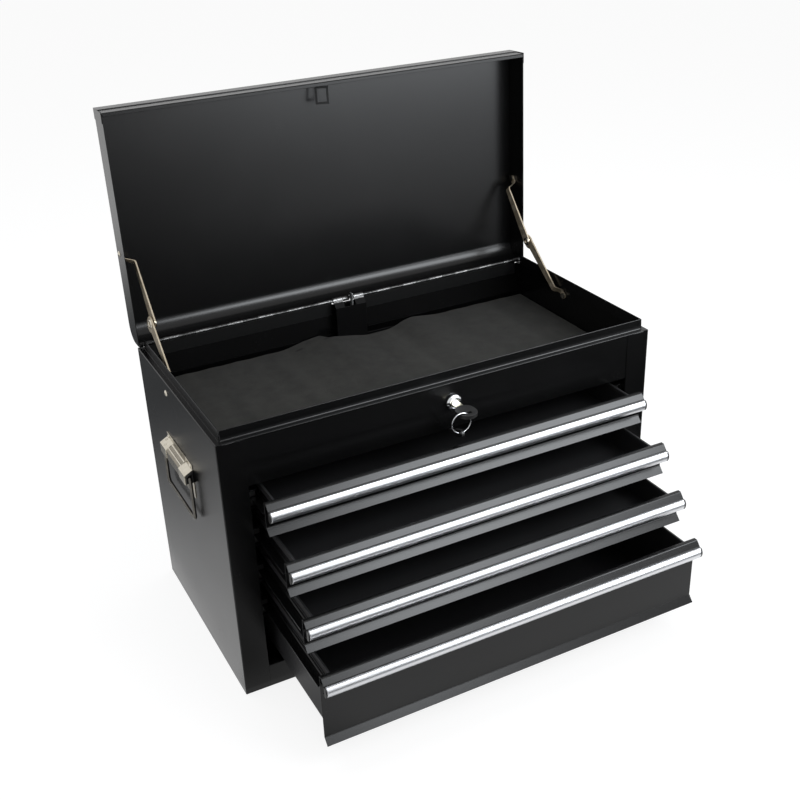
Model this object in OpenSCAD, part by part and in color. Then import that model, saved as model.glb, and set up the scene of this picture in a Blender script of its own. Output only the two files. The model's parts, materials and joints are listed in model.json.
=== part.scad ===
// Four-drawer steel top chest with a lift-up lid, a lined till, folding lid stays and side handles.
// Shown as photographed: lid open against its stays, drawers pulled out in steps.
// Front faces -Y, +X is to the right, the floor is z = 0, all sizes in millimetres.

/* [Casing] */
// Width over the two side panels
width = 600; // [590:1:630]
// Depth from the front pillars to the back panel
depth = 308; // [304:1:330]
// Height of the shoulder that carries the closed lid
height = 357; // [355:1:375]
// Thickness of the casing and lid sheet
sheet = 1; // [0.8:0.1:1.2]
// Width of each front pillar
pillar_w = 33.5; // [32:0.5:36]
// Depth of the flange folded back from each pillar
pillar_return = 20; // [16:1:24]
// Width of the shoulder around the till
shoulder_w = 8; // [7.5:0.1:9]
// Height of the rim above the shoulder
rim_h = 14; // [10:0.5:15]
// Height of the front panel that carries the lock
front_panel_h = 63; // [60:0.5:65]
// Height of the bottom rail
rail_h = 33; // [30:0.5:34]

/* [Lid] */
// Height of the lid
lid_h = 37; // [36:0.5:42]
// Outer radius of the bend along the rear of the lid
lid_bend_r = 22; // [18:0.5:24]
// Opening angle of the lid against its stays
lid_open = 91.5; // [90.5:0.5:95]
// Depth of the hem turned in along the front of the lid
lid_hem = 4; // [3:0.5:4.5]
// Length of the front rail's ears round the lid corners
lid_ear = 14; // [10:0.5:18]
// Distance of the upper stay pivot from the hinge, along the lid
stay_lid_reach = 119.6; // [116:0.2:122]
// Height of the upper stay pivot above the hinge when the lid is shut
stay_lid_rise = 22; // [21:0.2:23]
// Distance of the lower stay pivot in front of the hinge
stay_case_reach = 115.5; // [113:0.5:118]
// Distance of the lower stay pivot below the hinge
stay_case_drop = 21; // [20:0.2:22]

/* [Drawers] */
// Height step from one drawer to the next
pitch = 51.7; // [50:0.1:52]
// Clearance between a drawer front and each pillar
front_gap = 4; // [3:0.1:6]
// Room for a slide beside each drawer box
slide_room = 16.5; // [16:0.1:18]
// How far the first drawer stands open
pull_1 = 40; // [5:1:190]
// How far the second drawer stands open
pull_2 = 90; // [5:1:190]
// How far the third drawer stands open
pull_3 = 129; // [5:1:190]
// How far the fourth drawer stands open
pull_4 = 167; // [5:1:190]
// Height of the grip trim
trim_h = 13.5; // [12:0.5:15]
// Depth of the grip trim
trim_d = 6; // [5:0.5:8]

/* [Lock and handles] */
// Sideways place of the lock from the middle
lock_x = 3.5; // [-6:0.5:6]
// Diameter of the lock bezel
bezel_d = 21; // [18:0.5:22]
// Length of each handle bracket
bracket_l = 100; // [92:1:108]
// Drop of each bail below its pivot
bail_drop = 58; // [50:1:66]
// Diameter of the bail wire
bail_d = 4.6; // [4:0.1:5]

/* [Hidden] */
$fn = 64;

black = [0.10, 0.10, 0.11];
plastic = [0.05, 0.05, 0.05];
foam = [0.25, 0.25, 0.24];
nickel = [0.80, 0.77, 0.68];
chrome = [0.85, 0.86, 0.88];
alloy = [0.78, 0.79, 0.80];
zinc = [0.62, 0.63, 0.64];
nylon = [0.85, 0.85, 0.82];

hw = width / 2;
hd = depth / 2;
open_hw = hw - pillar_w;
open_top = height - front_panel_h;
rim_x = hw - shoulder_w;
rim_y = hd - shoulder_w;
rim_stop = 6;
panel_lap = 23.5;
panel_return = 10;
rail_return = 11;
cut = 1;

// Hinge along the rear of the till
knuckle_r = 2.5;
big_knuckle_r = 3.6;
pin_r = 1.5;
pin_proud = 0.5;
fit = 0.05;
leaf_t = 1;
hinge_rise = 5;
hinge_inset = 4;
hinge_y = hd - sheet - knuckle_r;
hinge_z = height + hinge_rise;
hinge_hw = rim_x - hinge_inset;
leaf_y = hinge_y + knuckle_r - leaf_t;
leaf_drop = 22;
leaf_gap = 0.4;
knuckles = 12;
knuckle_gap = 0.3;

// Drawer lock bar and its cover behind the till
bar_x = 5.5;
bar_hw = 13;
bar_t = 2;
bar_in = 10;
bar_y = hd - bar_in;
bar_room = 1;
guide_gap = 0.5;
guide_z = 10;
guide_h = 12;
guide_lip = 3;
cover_hw = 23.5;
cover_off = 5.5;
cover_y = bar_y - cover_off;
cover_gap = 18;
cover_shift = 0.5;
cover_drop = 8;
mid_side = 0.8;
mid_gap = cover_hw + mid_side;
mid_over = 1.5;
lever_r = 7;
lever_ang = 135;
lever_t = 2;
lever_hw = 2.4;
lever_off = 1.5;
lever_x = bar_x - lever_off;
lever_room = 1.6;
ear_off = 2.5;
ear_x = bar_x + ear_off;
ear_t = 1.5;
ear_pin = 5;
ear_root = 10;
ear_front = 1.2;
ear_rear = 0.9;
ear_over = 2;
slot_gap = 0.45;

// Lid when shut
lid_gap = 0.4;
lid_z0 = height + lid_gap;
lid_z1 = lid_z0 + lid_h;
lid_ear_t = 0.8;
lip_h = 18;
skirt_y = leaf_y;
skirt_gap = 1.2;
skirt_z = hinge_z + knuckle_r + skirt_gap;
notch_gap = 2;
notch_side = 1.5;
notch_z = hinge_z + big_knuckle_r + notch_gap;

// Loop on the lid front
striker_x = -3;
striker_z = 21;
striker_foot = 3;
striker_foot_h = 2.5;
striker_root = 2;
striker_tilt = [-10, 22, 0];
loop_w = 18;
loop_l = 22;
loop_strip = 3;
loop_stem = 7;
loop_lap = 1;
loop_t = 1.5;

// Till
till_drop = 6;
till_z = open_top + till_drop;
till_flange = 11;
mat_t = 4;
mat_lift = 0.3;
mat_gap = 1;
mat_notch = 14;
mat_notch_hw = cover_hw + mat_notch;
wave_x = [-37, 105];
wave_hw = [75, 45];
wave_h = [10, 5];

// Lid stays, all places measured from the hinge as [y, z]
stay_t = 2;
stay_r = 6;
stay_end_r = 4.6;
stay_slack = 0.5;
stud_r = 2.5;
stud_head_r = 4.2;
stud_head_h = 1.3;
stud_dome_h = 2;
stud_gap = 0.3;
rivet_r = 5.5;
rivet_h = 1.6;
stay_side = 0.5;
stay_in = 4;
stay_between = 0.7;
stay_end_x = hw - sheet - stay_side - stay_t;
stay_low_x = rim_x - stay_in;
stay_up_x = stay_low_x - stay_between - stay_t;
crank_a = 7;
crank_b = 15;
lid_cos = cos(lid_open);
lid_sin = sin(lid_open);
stay_u = [-stay_lid_reach * lid_cos + stay_lid_rise * lid_sin,
    stay_lid_reach * lid_sin + stay_lid_rise * lid_cos];
stay_l = [-stay_case_reach, -stay_case_drop];
stay_span = norm(stay_u - stay_l);
stay_len = stay_span / 2 + stay_slack;
stay_low_ang = atan2(stay_u[1] - stay_l[1], stay_u[0] - stay_l[0]) - acos(stay_span / 2 / stay_len);
stay_m = stay_l + stay_len * [cos(stay_low_ang), sin(stay_low_ang)];
stay_up_ang = atan2(stay_m[1] - stay_u[1], stay_m[0] - stay_u[0]);

// Drawers
front_hw = open_hw - front_gap;
box_hw = open_hw - slide_room;
skin = 0.8;
panel_y = 4.4;
flare = 8.2;
flare_y = -3;
flare_ang = atan2(panel_y - flare_y, flare);
strip_lip = -2;
drawer_gap = 9;
shallow_h = pitch - drawer_gap;
top_gap = 3;
rail_gap = 6.2;
top_z = open_top - top_gap;
deep_h = top_z - 3 * pitch - rail_h - rail_gap;
pulls = [pull_1, pull_2, pull_3, pull_4];
tops = [for (i = [0 : 3]) top_z - i * pitch];
front_h = [shallow_h, shallow_h, shallow_h, deep_h];
slide_z = [-20, -20, -20, -20];
box_top = -4;
box_lift = 3.7;
box_lip = 3;
box_roll = 6;
box_back = 23;
box_rear = depth - box_back;
strip_y = -6.2;
strip_top = -7.5;
strip_foot = -19.5;
trim_top = strip_top;
trim_round = 10;
cap_t = 1.6;
hook_hw = 8;
hook_t = 1.2;
hook_z = -29;
hook_lip = 7.8;
hook_out = 9;
hook_room = 3.8;
hook_rise = 3.1;

// Slides
channel_h = 12;
channel_t = 1.2;
channel_d = 12;
channel_y0 = 8;
channel_back = 18;
channel_y1 = depth - channel_back;
post_in = 24;
post_w = 22;
rib_t = 1;
rib_room = 2.8;
runner_t = 1.2;
runner_hh = 8;
runner_in = 4;
runner_y0 = channel_y0 + runner_in;
runner_back = 1;
stop_l = 10;
stop_side = 1.2;
stop_gap = 0.5;
glide_gap = 0.4;
glide_l = 14;
glide_in = 4;
glide_side = 1;

// Lock and keys
lock_drop = 27;
lock_z = height - lock_drop;
panel_face = -hd + sheet;
bezel_h = 5.5;
bezel_cone_h = 2;
bezel_cone = 2.5;
barrel_r = 8;
barrel_l = 20;
barrel_bite = 0.5;
plug_r = 5;
plug_nose = 0.5;
keyway_end = 3;
nut_r = 12.5;
nut_h = 4;
cam_t = 2;
cam_l = 30;
cam_r = 7;
cam_neck = 3.5;
cam_gap = 0.3;
blade_hw = 4;
blade_t = 2;
blade_gap = 0.2;
blade_end = 4;
shank_hw = 5.5;
shank_bite = 0.6;
shank_gap = 0.8;
head_r = 12.5;
head_t = 4.5;
head_out = 28.5;
head_y = -hd - head_out;
head_l = 5;
eye_w = 12.5;
eye_h = 5;
eye_strip = 3.5;
ring_r = 13;
wire_r = 0.7;
eye_off = 8.5;
ring_y = head_y - eye_off;
eye_edge = sqrt(head_r * head_r - pow(head_y - head_l - ring_y, 2));
ring_x = lock_x - eye_edge + eye_strip / 2;
ring_drop = 9.1;
spare_ang = -20;
spare_r = 4.5;
spare_l = 13;
spare_t = 3.6;
spare_tip = 31;
spare_blade_hw = 2.8;
spare_room = 1.3;
spare_gap = 0.3;
spare_hole_r = wire_r + spare_room;
spare_drop = spare_hole_r - wire_r - spare_gap;

// Side handles
bracket_y = 6;
bracket_t = 1.2;
bracket_d = 12;
bracket_drop = 80;
bracket_z = height - bracket_drop;
flange_top = 7;
channel_z = 18;
bracket_fall = 6;
sleeve_t = 0.8;
sleeve_l = 24;
slope_rate = bracket_fall / (bracket_d - sleeve_t - bracket_t);
flange_foot = 22;
bush_l = 12;
bush_out = 1.5;
plate_rivet_r = 2.5;
plate_rivet_h = 1.4;
plate_rivet_in = 7;
bail_r = bail_d / 2;
bail_out = 6;
bail_side = 0.5;
stub_gap = 1;
bail_x = hw + bail_out;
bail_z = bracket_z - flange_top - channel_z / 2;
bail_hw = bracket_l / 2 + bush_out + bail_side + bail_r;
bail_bend = 6;

module bar(x0, x1, y0, y1, z0, z1) {
    translate([x0, y0, z0])
        cube([x1 - x0, y1 - y0, z1 - z0]);
}

// A section drawn in y and z, drawn out along x
module along_x(x0, x1) {
    translate([x0, 0, 0])
        rotate([90, 0, 90])
            linear_extrude(height = x1 - x0)
                children();
}

// A round bar along x between two places
module rod_x(x0, x1, r) {
    translate([x0, 0, 0])
        rotate([0, 90, 0])
            cylinder(r = r, h = x1 - x0);
}

// A round bar along y between two places
module rod_y(y0, y1, r) {
    translate([0, y0, 0])
        rotate([-90, 0, 0])
            cylinder(r = r, h = y1 - y0);
}

// A low dome facing +x with its flat foot at x = 0
module dome_x(r, h) {
    ball_r = (r * r + h * h) / (2 * h);
    intersection() {
        translate([h - ball_r, 0, 0])
            sphere(r = ball_r);
        rod_x(0, h + cut, r + cut);
    }
}

module at_hinge() {
    translate([0, hinge_y, hinge_z])
        children();
}

module on_lid() {
    at_hinge()
        rotate([-lid_open, 0, 0])
            translate([0, -hinge_y, -hinge_z])
                children();
}

// Left side panel with its pillar, shoulder and rim
module side_sheet() {
    difference() {
        union() {
            bar(-hw, -hw + sheet, -hd, hd, 0, height);
            bar(-hw, -open_hw, -hd, -hd + sheet, 0, height - sheet);
            bar(-open_hw - sheet, -open_hw, -hd, -hd + pillar_return, sheet, open_top);
            bar(-hw, -rim_x, -hd, hd, height - sheet, height);
            bar(-rim_x - sheet, -rim_x, -rim_y - sheet, hinge_y - rim_stop, height - sheet, height + rim_h);
        }
        translate([0, hinge_y + stay_l[0], hinge_z + stay_l[1]])
            rod_x(-hw - cut, -hw + sheet + cut, stud_r + fit);
    }
}

module side_left() {
    color(black)
        side_sheet();
}

module side_right() {
    color(black)
        mirror([1, 0, 0])
            side_sheet();
}

module back_panel() {
    color(black)
        bar(-hw + sheet, hw - sheet, hd - sheet, hd, sheet, height - sheet);
}

// Floor sheet of the casing with the rail below the drawers
module bottom_panel() {
    color(black)
        union() {
            bar(-hw + sheet, hw - sheet, -hd + sheet, hd, 0, sheet);
            bar(-open_hw, open_hw, -hd, -hd + sheet, 0, rail_h);
            bar(-open_hw, open_hw, -hd, -hd + rail_return, rail_h - sheet, rail_h);
        }
}

// Panel above the drawers with the front shoulder and rim
module front_panel() {
    panel_hw = open_hw + panel_lap;
    color(black)
        difference() {
            union() {
                bar(-panel_hw, panel_hw, panel_face, panel_face + sheet, open_top, height - sheet);
                bar(-open_hw, open_hw, panel_face, panel_face + panel_return, open_top, open_top + sheet);
                bar(-rim_x, rim_x, -hd, -rim_y, height - sheet, height);
                bar(-rim_x, rim_x, -rim_y - sheet, -rim_y, height - sheet, height + rim_h);
            }
            translate([lock_x, 0, lock_z])
                rod_y(-hd - cut, -hd + 2 * sheet + cut, barrel_r + fit);
        }
}

module till_floor() {
    color(black)
        difference() {
            union() {
                bar(-hw + sheet, hw - sheet, panel_face + sheet, hd - sheet, till_z - sheet, till_z);
                bar(-hw + sheet, hw - sheet, hd - 2 * sheet, hd - sheet, till_z - sheet, till_z + till_flange);
            }
            bar(bar_x - bar_hw - bar_room, bar_x + bar_hw + bar_room, bar_y - bar_room,
                bar_y + bar_t + bar_room, till_z - sheet - cut, till_z + cut);
        }
}

// Rise of the foam mat above flat, in two waves that die out towards the front
function wave(u) = abs(u) < 1 ? pow(cos(90 * u), 2) : 0;
function lift(x, i) = wave_h[i] * wave((x - wave_x[i]) / wave_hw[i]);
function mat_rise(x, v) = (lift(x, 0) + lift(x, 1)) * v * v;
// Rear edge of the mat, which steps forward round the bar cover
function mat_rear(x) = (abs(x - bar_x) < mat_notch_hw ? cover_y : hd - 2 * sheet) - mat_gap;

module till_mat() {
    nx = 48;
    ny = 6;
    side = hw - sheet - mat_gap;
    front = panel_face + sheet + mat_gap;
    z0 = till_z + mat_lift;
    xs = [for (i = [0 : nx]) -side + 2 * side * i / nx];
    top = [for (x = xs) for (j = [0 : ny])
        [x, front + (mat_rear(x) - front) * j / ny, z0 + mat_t + mat_rise(x, j / ny)]];
    low = [for (p = top) [p[0], p[1], p[2] - mat_t]];
    row = ny + 1;
    all = len(top);
    up = [for (i = [0 : nx - 1]) for (j = [0 : ny - 1])
        [i * row + j, i * row + j + 1, (i + 1) * row + j + 1, (i + 1) * row + j]];
    down = [for (f = up) [all + f[3], all + f[2], all + f[1], all + f[0]]];
    ends = concat(
        [for (i = [0 : nx - 1]) [i * row, (i + 1) * row, all + (i + 1) * row, all + i * row]],
        [for (i = [0 : nx - 1]) [(i + 1) * row + ny, i * row + ny, all + i * row + ny,
            all + (i + 1) * row + ny]],
        [for (j = [0 : ny - 1]) [j + 1, j, all + j, all + j + 1]],
        [for (j = [0 : ny - 1]) [nx * row + j, nx * row + j + 1, all + nx * row + j + 1,
            all + nx * row + j]]);
    quads = concat(up, down, ends);
    tris = concat([for (f = quads) [f[0], f[1], f[2]]], [for (f = quads) [f[0], f[2], f[3]]]);
    color(foam)
        polyhedron(points = concat(top, low), faces = tris, convexity = 4);
}

// Hat posts that hold the rear ends of the slide channels
module post() {
    y0 = channel_y1 - hd - post_in;
    y1 = y0 + post_w;
    bar(open_hw, open_hw + channel_t, y0, y1, sheet, open_top);
    bar(open_hw, hw - sheet, y0, y0 + channel_t, sheet, open_top);
    bar(open_hw, hw - sheet, y1 - channel_t, y1, sheet, open_top);
}

module slide_posts() {
    color(zinc)
        for (s = [0, 1])
            mirror([s, 0, 0])
                union() {
                    post();
                }
}

module channel(z) {
    x0 = open_hw - channel_d;
    y0 = channel_y0 - hd;
    y1 = channel_y1 - hd;
    difference() {
        bar(x0, open_hw, y0, y1, z - channel_h, z + channel_h);
        bar(x0 - cut, open_hw - channel_t, y0 - cut, y1 + cut,
            z - channel_h + channel_t, z + channel_h - channel_t);
    }
}

module slide_channels() {
    color(zinc)
        for (s = [0, 1])
            mirror([s, 0, 0])
                for (i = [0 : 3])
                    channel(tops[i] + slide_z[i]);
}

// Nylon pads that guide the runner ribs at the channel mouths
module slide_glides() {
    gap = rib_t + glide_gap;
    inner = channel_h - channel_t;
    y0 = channel_y0 - hd + glide_in;
    color(nylon)
        for (s = [0, 1])
            mirror([s, 0, 0])
                for (i = [0 : 3])
                    for (k = [-1, 1])
                        translate([0, 0, tops[i] + slide_z[i] + k * (gap + inner) / 2])
                            bar(open_hw - channel_d + glide_side, open_hw - channel_t, y0, y0 + glide_l,
                                -(inner - gap) / 2, (inner - gap) / 2);
}

// Knuckles of one hinge leaf between two places, on every second step
module knuckle_row(x0, x1, first, plate_z) {
    step = (x1 - x0) / knuckles;
    at_hinge()
        for (i = [first : 2 : knuckles - 1])
            difference() {
                union() {
                    rod_x(x0 + i * step + knuckle_gap / 2, x0 + (i + 1) * step - knuckle_gap / 2, knuckle_r);
                    bar(x0 + i * step + knuckle_gap / 2, x0 + (i + 1) * step - knuckle_gap / 2,
                        knuckle_r - leaf_t, knuckle_r, min(0, plate_z), max(0, plate_z));
                }
                rod_x(x0 + i * step, x0 + (i + 1) * step, pin_r + fit);
            }
}

module casing_leaf() {
    seam = -knuckle_r - leaf_gap;
    color(zinc)
        for (p = [[-hinge_hw, bar_x - mid_gap], [bar_x + mid_gap, hinge_hw]])
            union() {
                knuckle_row(p[0], p[1], 0, seam);
                bar(p[0], p[1], leaf_y, leaf_y + leaf_t, hinge_z - leaf_drop, hinge_z + seam);
            }
}

module hinge_pin() {
    color(zinc)
        at_hinge()
            rod_x(-hinge_hw - pin_proud, hinge_hw + pin_proud, pin_r);
}

// Cover strip hung on the hinge pin in front of the lock bar
module bar_cover() {
    bend_z = hinge_z - cover_drop;
    neck_y = hinge_y - knuckle_r;
    mid = bar_x - cover_shift;
    color(black)
        difference() {
            union() {
                bar(bar_x - cover_hw, bar_x + cover_hw, cover_y, cover_y + sheet, till_z, bend_z);
                for (k = [[bar_x - cover_hw, mid - cover_gap / 2], [mid + cover_gap / 2, bar_x + cover_hw]]) {
                    along_x(k[0], k[1])
                        polygon([[cover_y, bend_z - sheet], [cover_y + sheet, bend_z - sheet],
                            [neck_y, hinge_z - knuckle_r], [neck_y, hinge_z + pin_r]]);
                    at_hinge()
                        rod_x(k[0], k[1], big_knuckle_r);
                }
            }
            at_hinge()
                rod_x(bar_x - cover_hw - cut, bar_x + cover_hw + cut, pin_r + fit);
        }
}

// Angle guides on the back panel that keep the lock bar upright
module bar_guides() {
    side = bar_hw + guide_gap;
    lip_y = bar_y - guide_gap - hook_t;
    color(zinc)
        for (i = [1, 2])
            for (s = [0, 1])
                translate([bar_x, 0, tops[i] + guide_z])
                    mirror([s, 0, 0])
                        union() {
                            bar(side, side + hook_t, lip_y, hd - sheet, 0, guide_h);
                            bar(side - guide_lip, side + hook_t, lip_y, lip_y + hook_t, 0, guide_h);
                        }
}

module lock_barrel() {
    color(chrome)
        translate([lock_x, panel_face, lock_z])
            difference() {
                union() {
                    rod_y(-bezel_h + bezel_cone_h, 0, bezel_d / 2);
                    translate([0, -bezel_h + bezel_cone_h, 0])
                        rotate([90, 0, 0])
                            cylinder(r1 = bezel_d / 2, r2 = bezel_d / 2 - bezel_cone, h = bezel_cone_h);
                    rod_y(-barrel_bite, barrel_l, barrel_r);
                }
                rod_y(-bezel_h - cut, barrel_l + cut, plug_r + fit);
            }
}

module lock_nut() {
    color(zinc)
        translate([lock_x, panel_face + sheet, lock_z])
            rotate([-90, 0, 0])
                difference() {
                    cylinder(r = nut_r, h = nut_h, $fn = 6);
                    translate([0, 0, -cut])
                        cylinder(r = barrel_r, h = nut_h + 2 * cut);
                }
}

// Section of a handle bracket: flange, sloping top, outer face, foot web and foot flange
module bracket_section() {
    z1 = bracket_z - flange_top;
    z0 = z1 - channel_z;
    face = hw + bracket_d - sleeve_t;
    wall = hw + bracket_t;
    inside = face - bracket_t;
    polygon([[hw, bracket_z], [wall, bracket_z], [wall, z1], [face, z1 - bracket_fall], [face, z0],
        [wall, z0], [wall, z0 - flange_foot], [hw, z0 - flange_foot], [hw, z0 + bracket_t],
        [inside, z0 + bracket_t], [inside, z1 - slope_drop(inside - hw)], [hw, z1 - slope_drop(0)]]);
}

// How far the underside of the sloping top lies below its root, at a distance from the side panel
function slope_drop(x) = slope_rate * (x - bracket_t) + bracket_t * sqrt(1 + slope_rate * slope_rate);

// Raised sleeve round the top and face at a bracket end
module sleeve_section() {
    z1 = bracket_z - flange_top;
    z0 = z1 - channel_z;
    face = hw + bracket_d - sleeve_t;
    wall = hw + bracket_t;
    skin_x = hw + bracket_d;
    polygon([[wall, z1 + sleeve_t], [skin_x, z1 + sleeve_t - bracket_fall], [skin_x, z0],
        [face, z0], [face, z1 - bracket_fall], [wall, z1]]);
}

module along_y(y0, y1) {
    translate([0, y1, 0])
        rotate([90, 0, 0])
            linear_extrude(height = y1 - y0)
                children();
}

// Pressed hat-section handle bracket for the right side, with a sleeve at each end
module bracket() {
    y0 = bracket_y - bracket_l / 2;
    y1 = bracket_y + bracket_l / 2;
    along_y(y0, y1)
        bracket_section();
    along_y(y0, y0 + sleeve_l)
        sleeve_section();
    along_y(y1 - sleeve_l, y1)
        sleeve_section();
}

module handle_brackets() {
    color(nickel)
        for (s = [0, 1])
            mirror([s, 0, 0])
                union() {
                    bracket();
                }
}

// Black bushes in the bracket ends that carry the bail
module handle_bushes() {
    z1 = bracket_z - flange_top;
    z0 = z1 - channel_z + bracket_t;
    face = bracket_d - sleeve_t - bracket_t;
    color(plastic)
        for (s = [0, 1])
            mirror([s, 0, 0])
                for (k = [-1, 1])
                    difference() {
                        translate([0, bracket_y + k * (bracket_l / 2 + bush_out - bush_l / 2), 0])
                            along_y(-bush_l / 2, bush_l / 2)
                                polygon([[hw, z0], [hw + face, z0], [hw + face, z1 - slope_drop(face)],
                                    [hw, z1 - slope_drop(0)]]);
                        translate([bail_x, bracket_y, bail_z])
                            rod_y(-bail_hw, bail_hw, bail_r + fit);
                    }
}

module handle_rivets() {
    z_up = bracket_z - flange_top / 2;
    z_low = bracket_z - flange_top - channel_z - flange_foot / 2;
    color(nickel)
        for (s = [0, 1])
            mirror([s, 0, 0])
                for (k = [-1, 1])
                    for (z = [z_up, z_low])
                        translate([hw + bracket_t, bracket_y + k * (bracket_l / 2 - plate_rivet_in), z])
                            dome_x(plate_rivet_r, plate_rivet_h);
}

// Wire bail for the right side: two stubs in the bushes, two legs and a foot
module bail() {
    legs = bail_drop - bail_bend;
    stub = bail_hw - bail_r - bracket_l / 2 + bush_l - bush_out - stub_gap;
    translate([bail_x, bracket_y, bail_z])
        union() {
            for (k = [0, 1])
                mirror([0, k, 0]) {
                    rod_y(-bail_hw, -bail_hw + bail_r + stub, bail_r);
                    translate([0, -bail_hw, 0])
                        sphere(r = bail_r);
                    translate([0, -bail_hw, -legs])
                        cylinder(r = bail_r, h = legs);
                    translate([0, -bail_hw + bail_bend, -legs])
                        rotate([0, 90, 180])
                            rotate_extrude(angle = 90)
                                translate([bail_bend, 0])
                                    circle(r = bail_r);
                }
            translate([0, 0, -bail_drop])
                rod_y(-bail_hw + bail_bend, bail_hw - bail_bend, bail_r);
        }
}

module bail_left() {
    color(nickel)
        mirror([1, 0, 0])
            bail();
}

module bail_right() {
    color(nickel)
        bail();
}

// Stud with a dome outside, a shank through the sheet and a flat head inside the stay end
module stud() {
    head_x = stay_end_x - stud_gap - stud_head_h - hw;
    ball_r = (stud_head_r * stud_head_r + stud_dome_h * stud_dome_h) / (2 * stud_dome_h);
    rotate([0, 90, 0])
        rotate_extrude()
            union() {
                translate([0, head_x])
                    square([stud_r, stud_dome_h / 2 - head_x]);
                translate([0, head_x])
                    square([stud_head_r, stud_head_h]);
                intersection() {
                    translate([0, stud_dome_h - ball_r])
                        circle(r = ball_r);
                    square([stud_head_r, stud_dome_h]);
                }
            }
}

module casing_studs() {
    color(nickel)
        for (s = [0, 1])
            mirror([s, 0, 0])
                translate([hw, hinge_y + stay_l[0], hinge_z + stay_l[1]])
                    union() {
                        stud();
                    }
}

module lid_studs() {
    color(nickel)
        on_lid()
            for (s = [0, 1])
                mirror([s, 0, 0])
                    translate([hw, hinge_y - stay_lid_reach, hinge_z + stay_lid_rise])
                        union() {
                            stud();
                        }
}

// Top sheet of the lid with the rear bend and rear skirt
module lid_shell() {
    r = lid_bend_r;
    yc = skirt_y - r;
    zc = lid_z1 - r;
    edge = hw - sheet;
    color(black)
        on_lid()
            difference() {
                along_x(-edge, edge)
                    union() {
                        translate([-hd + sheet, lid_z1 - sheet])
                            square([yc + hd - sheet, sheet]);
                        translate([skirt_y - sheet, skirt_z])
                            square([sheet, zc - skirt_z]);
                        intersection() {
                            difference() {
                                translate([yc, zc])
                                    circle(r = r);
                                translate([yc, zc])
                                    circle(r = r - sheet);
                            }
                            translate([yc, zc])
                                square([r + cut, r + cut]);
                        }
                    }
                bar(bar_x - cover_hw - notch_side, bar_x + cover_hw + notch_side, skirt_y - sheet - cut,
                    skirt_y + cut, skirt_z - cut, notch_z);
            }
}

module lid_end() {
    r = lid_bend_r;
    difference() {
        along_x(hw - sheet, hw)
            difference() {
                translate([-hd + sheet, lid_z0])
                    square([skirt_y + hd - sheet, lid_h]);
                difference() {
                    translate([skirt_y - r, lid_z1 - r])
                        square([r + cut, r + cut]);
                    translate([skirt_y - r, lid_z1 - r])
                        circle(r = r);
                }
            }
        translate([0, hinge_y - stay_lid_reach, hinge_z + stay_lid_rise])
            rod_x(hw - sheet - cut, hw + cut, stud_r + fit);
    }
}

module lid_ends() {
    color(black)
        on_lid()
            for (s = [0, 1])
                mirror([s, 0, 0])
                    lid_end();
}

// Front rail of the lid with its hem, the lip of the top over it and the ears round both corners
module lid_front_rail() {
    edge = hw + lid_ear_t;
    inner = hw - sheet;
    rail_y = -hd + sheet;
    color(black)
        on_lid()
            union() {
                bar(-edge, edge, -hd, rail_y, lid_z1 - lip_h, lid_z1);
                bar(-inner, inner, rail_y, rail_y + sheet, lid_z0, lid_z1 - sheet);
                bar(-inner, inner, rail_y, rail_y + sheet + lid_hem, lid_z0, lid_z0 + sheet);
                bar(-edge, -hw, -hd, -hd + lid_ear, lid_z0, lid_z1);
                bar(hw, edge, -hd, -hd + lid_ear, lid_z0, lid_z1);
            }
}

// Lid leaf of the hinge, with the lever that works the drawer lock bar in its middle
module lid_leaf() {
    seam = knuckle_r + leaf_gap;
    top = lid_z1 - lid_bend_r - hinge_z;
    mid = [bar_x - cover_gap / 2, bar_x + mid_over];
    pin_at = [lever_r * cos(lever_ang + lid_open), lever_r * sin(lever_ang + lid_open)];
    color(zinc)
        on_lid() {
            for (p = [[-hinge_hw, bar_x - mid_gap], [bar_x + mid_gap, hinge_hw]])
                union() {
                    knuckle_row(p[0], p[1], 1, seam);
                    at_hinge()
                        bar(p[0], p[1], knuckle_r - leaf_t, knuckle_r, seam, top);
                }
            at_hinge()
                difference() {
                    union() {
                        rod_x(mid[0], mid[1], big_knuckle_r);
                        bar(mid[0], mid[1], knuckle_r - leaf_t, knuckle_r, 0, top);
                        along_x(lever_x, lever_x + lever_t)
                            rotate(lever_ang + lid_open)
                                union() {
                                    translate([0, -lever_hw])
                                        square([lever_r, 2 * lever_hw]);
                                    translate([lever_r, 0])
                                        circle(r = lever_hw);
                                }
                        translate([0, pin_at[0], pin_at[1]])
                            rod_x(lever_x, bar_x + ear_pin, pin_r);
                    }
                    rod_x(mid[0] - cut, mid[1] + cut, pin_r + fit);
                }
        }
}

// Loop on the lid front that the lock cam catches
module striker() {
    strip = loop_strip;
    half_w = loop_w / 2;
    half_t = loop_t / 2;
    near = loop_stem - loop_lap;
    far = loop_stem + loop_l;
    color(black)
        on_lid()
            translate([striker_x, -hd + 2 * sheet, lid_z0 + striker_z])
                union() {
                    bar(-striker_foot, striker_foot, 0, striker_foot_h, -striker_foot, striker_foot);
                    translate([0, striker_root, 0])
                        rotate(striker_tilt)
                            difference() {
                                union() {
                                    bar(-strip / 2, strip / 2, 0, loop_stem, -half_t, half_t);
                                    bar(-half_w, half_w, near, far, -half_t, half_t);
                                }
                                bar(-half_w + strip, half_w - strip, near + strip, far - strip, -loop_t, loop_t);
                            }
                }
}

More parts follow.
